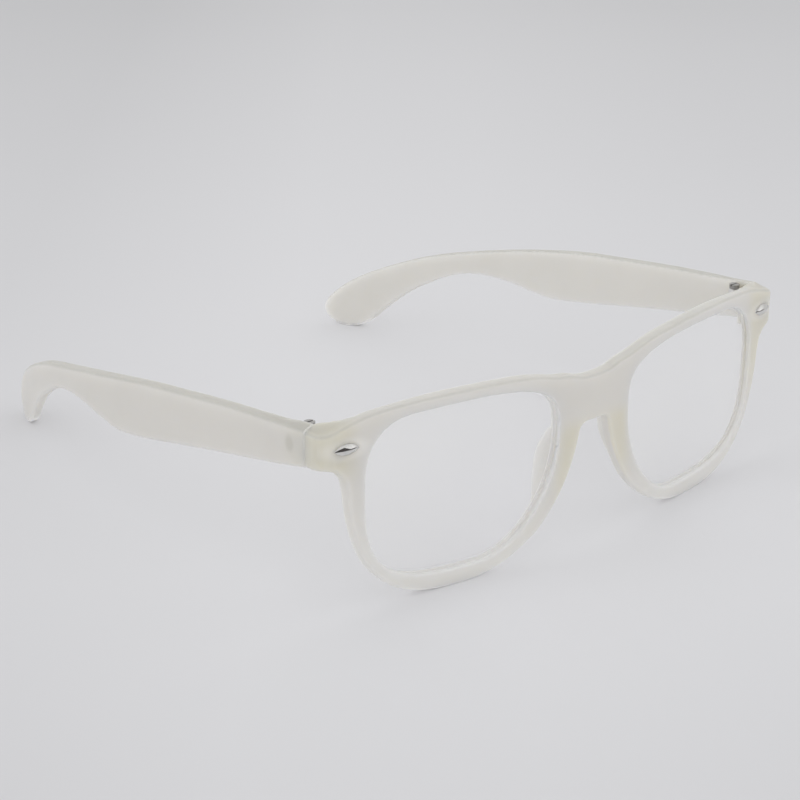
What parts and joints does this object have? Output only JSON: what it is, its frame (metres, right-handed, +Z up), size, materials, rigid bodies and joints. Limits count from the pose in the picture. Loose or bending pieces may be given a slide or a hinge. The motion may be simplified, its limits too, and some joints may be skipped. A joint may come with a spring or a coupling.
{
  "type": "stereoscopic glasses",
  "caption": "Square moulded spectacle frame in frosted ivory plastic with flat clear film-backed lenses and straight temples that fold on metal barrel hinges.",
  "frame": {"origin": "middle of the footprint on the surface the glasses stand on, temples open", "axes": "+X towards the wearer's left, +Y from the front back along the temples, +Z up"},
  "size_m": [0.145, 0.1526, 0.0455],
  "materials": {
    "frosted_plastic": "frosted translucent ivory, soft sheen",
    "clear_lens": "clear, polished",
    "optical_film": "clear film",
    "polished_metal": "polished",
    "hinge_metal": "satin",
    "hinge_screw": "dark, shiny"
  },
  "bodies": {
    "front": {"front_frame": "frosted_plastic", "right_lens": "clear_lens", "right_film": "optical_film", "right_stud": "polished_metal", "right_front_leaf": "hinge_metal", "right_screw": "hinge_screw", "left_lens": "clear_lens", "left_film": "optical_film", "left_stud": "polished_metal", "left_front_leaf": "hinge_metal", "left_screw": "hinge_screw"},
    "left_arm": {"left_temple_leaf": "hinge_metal", "left_temple": "frosted_plastic"},
    "right_arm": {"right_temple_leaf": "hinge_metal", "right_temple": "frosted_plastic"}
  },
  "joints": [
    {"name": "left_fold", "type": "hinge", "parent": "front", "child": "left_arm", "pos_m": [0.0679, -0.05801, 0.0383], "axis": [0, 0, 1], "range_deg": [0, 85]},
    {"name": "right_fold", "type": "hinge", "parent": "front", "child": "right_arm", "pos_m": [-0.0679, -0.05801, 0.0383], "axis": [0, 0, -1], "range_deg": [0, 79]}
  ]
}
